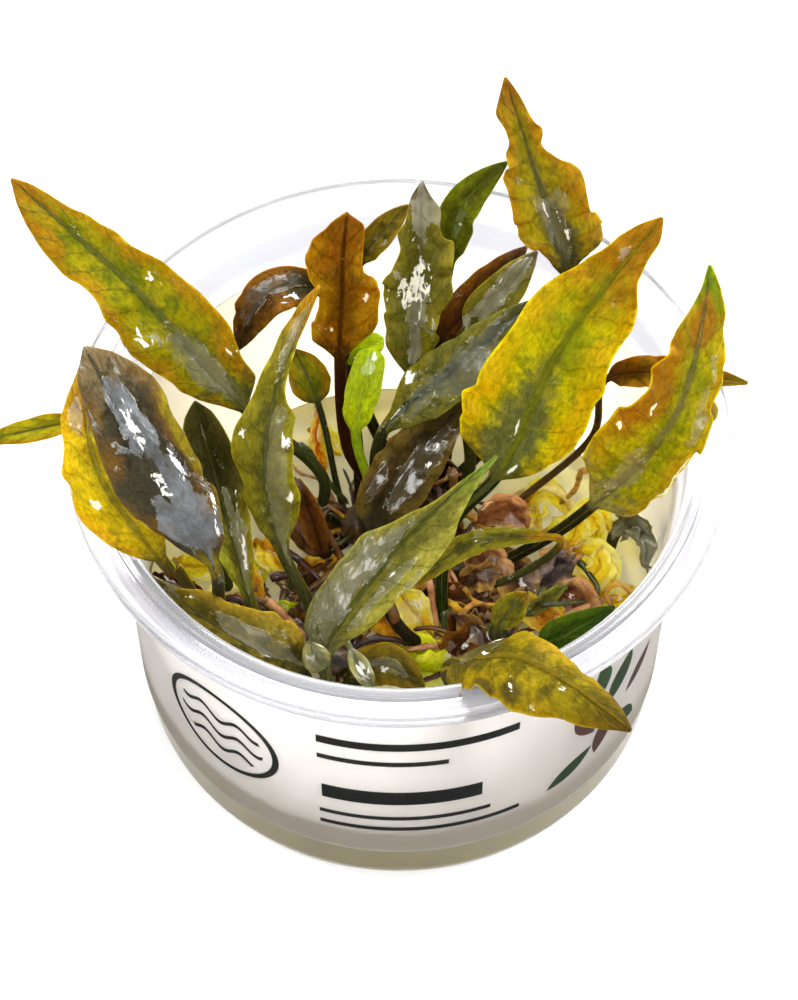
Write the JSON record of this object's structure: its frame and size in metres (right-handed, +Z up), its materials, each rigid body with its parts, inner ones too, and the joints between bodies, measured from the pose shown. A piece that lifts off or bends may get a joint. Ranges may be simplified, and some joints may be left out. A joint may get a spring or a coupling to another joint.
{
  "type": "potted aquarium plant",
  "caption": "Clear flanged culture cup with pale gel in its base, a wrapped label, and a tuft of long pointed wavy leaves on thin stalks that rises past the rim.",
  "frame": {"origin": "centre of the cup's flat base, on the surface it stands on", "axes": "+Z up along the cup's axis; -Y the front, the side the picture was taken from; +X to the right in the picture"},
  "size_m": [0.1157, 0.1055, 0.1032],
  "materials": {
    "crown": "plant tissue",
    "clear_cup": "clear, glossy",
    "gel": "cloudy, wet",
    "label": "white printed film, satin",
    "leaf_brown": "wet leaf, glossy",
    "leaf_green": "wet leaf, glossy",
    "leaf_grey": "wet leaf, glossy",
    "leaf_lime": "wet leaf, glossy",
    "leaf_olive": "wet leaf, glossy",
    "leaf_yellow": "wet leaf, glossy",
    "leaf_straw": "wet leaf, glossy",
    "leaf_amber": "wet leaf, glossy",
    "leaf_mauve": "wet leaf, glossy"
  },
  "bodies": {
    "root": {"crown_back": "crown", "crown_front": "crown", "crown_left": "crown", "crown_rear": "crown", "crown_right": "crown", "crown_west": "crown", "cup": "clear_cup", "gel": "gel", "label": "label", "leaf_back_brown": "leaf_brown", "leaf_back_green": "leaf_green", "leaf_back_grey": "leaf_grey", "leaf_back_left": "leaf_brown", "leaf_bright": "leaf_lime", "leaf_centre_left": "leaf_grey", "leaf_curled_green": "leaf_green", "leaf_far_left": "leaf_olive", "leaf_front_green": "leaf_green", "leaf_front_left": "leaf_olive", "leaf_front_long": "leaf_grey", "leaf_front_right": "leaf_yellow", "leaf_front_small": "leaf_olive", "leaf_front_tip": "leaf_olive", "leaf_hoop_straw": "leaf_straw", "leaf_left_grey": "leaf_grey", "leaf_left_long": "leaf_olive", "leaf_left_olive": "leaf_olive", "leaf_left_yellow": "leaf_yellow", "leaf_low_olive": "leaf_olive", "leaf_mid_dark": "leaf_brown", "leaf_mid_grey": "leaf_grey", "leaf_mid_narrow": "leaf_green", "leaf_mid_slim": "leaf_grey", "leaf_old": "leaf_brown", "leaf_orange": "leaf_amber", "leaf_rear_brown": "leaf_brown", "leaf_right_big": "leaf_yellow", "leaf_right_small": "leaf_amber", "leaf_right_tall": "leaf_yellow", "leaf_rolled_yellow": "leaf_straw", "leaf_strip_green": "leaf_lime", "leaf_top_right": "leaf_olive", "leaf_torn_yellow": "leaf_straw", "leaf_withered_brown": "leaf_brown", "leaf_withered_purple": "leaf_mauve"}
  },
  "joints": []
}
